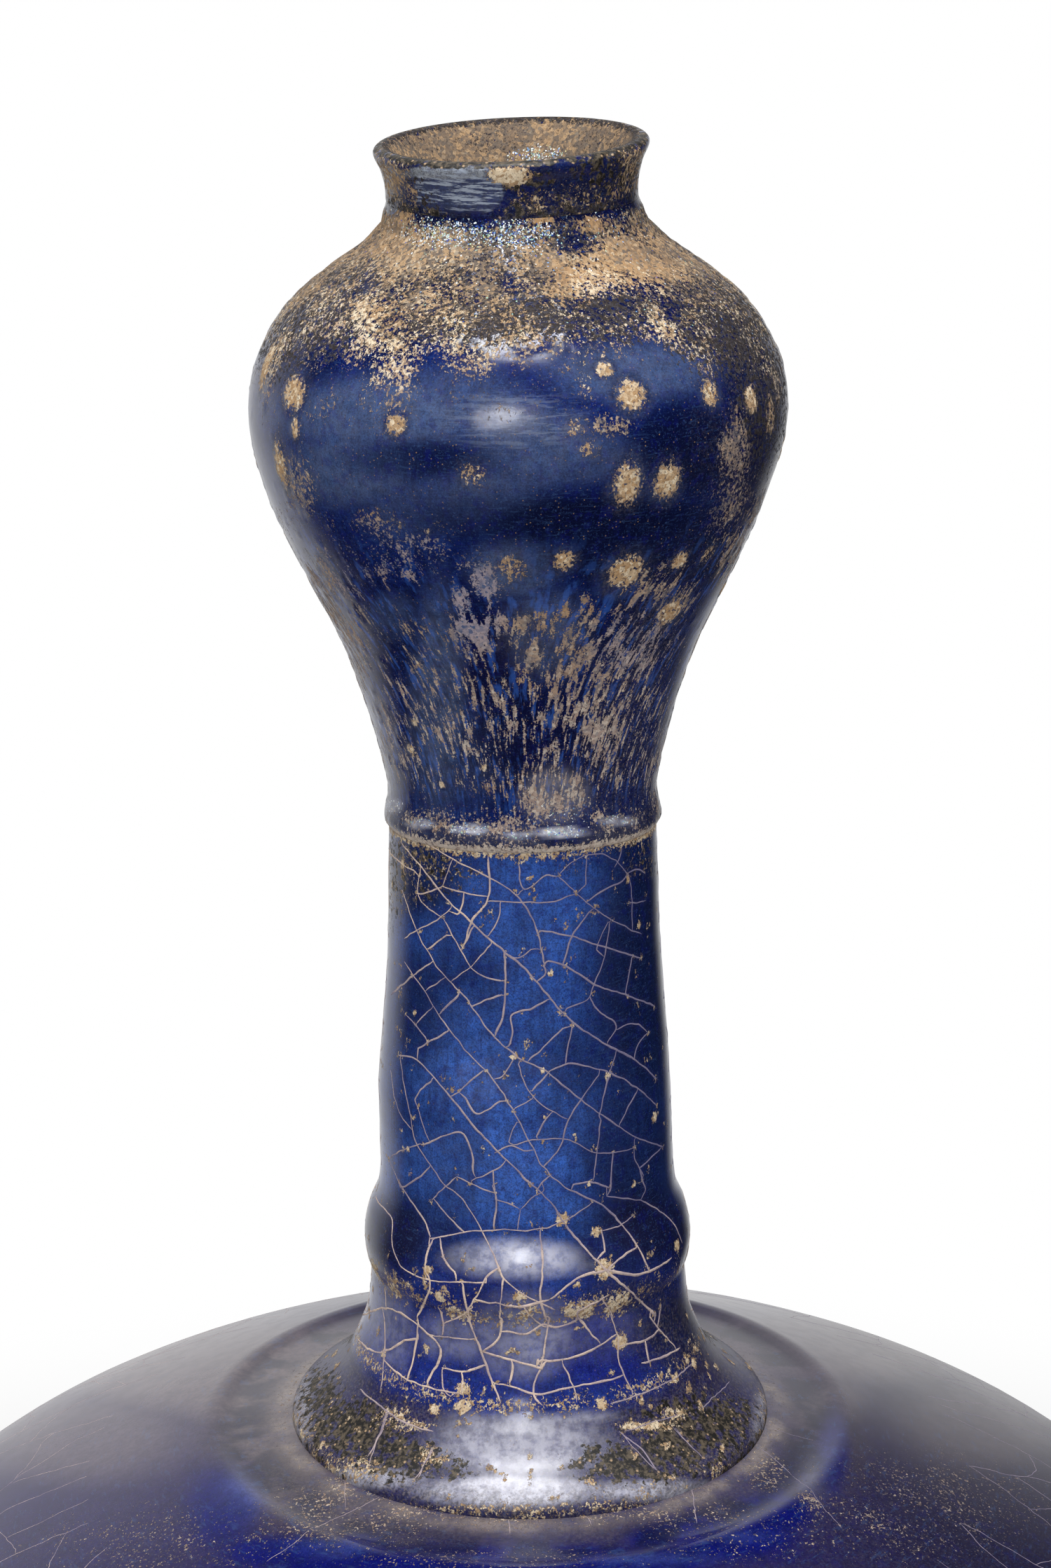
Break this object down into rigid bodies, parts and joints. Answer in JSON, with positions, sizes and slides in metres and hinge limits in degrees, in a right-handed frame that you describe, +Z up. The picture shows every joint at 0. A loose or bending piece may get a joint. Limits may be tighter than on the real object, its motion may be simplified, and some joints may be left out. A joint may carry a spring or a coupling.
{
  "type": "glazed bottle",
  "caption": "Long-necked stonepaste bottle with a globular body, a bulb under a small cupped mouth and a dark cobalt glaze.",
  "frame": {"origin": "centre of the foot ring on the ground that the bottle stands on", "axes": "+Z up along the bottle's axis of revolution, +X and +Y alike"},
  "size_m": [0.202, 0.202, 0.3043],
  "materials": {
    "stonepaste": "matt fired stonepaste, buff",
    "cobalt_glaze": "glossy dark cobalt glaze, worn and encrusted"
  },
  "bodies": {
    "root": {"foot_ring": "stonepaste", "body_lower": "stonepaste", "body_upper": "stonepaste", "neck_collar": "stonepaste", "neck_tube": "stonepaste", "bulb_lower": "stonepaste", "bulb_upper": "stonepaste", "mouth_rim": "stonepaste", "glaze_body": "cobalt_glaze", "glaze_neck": "cobalt_glaze", "glaze_bulb": "cobalt_glaze", "glaze_mouth": "cobalt_glaze"}
  },
  "joints": []
}
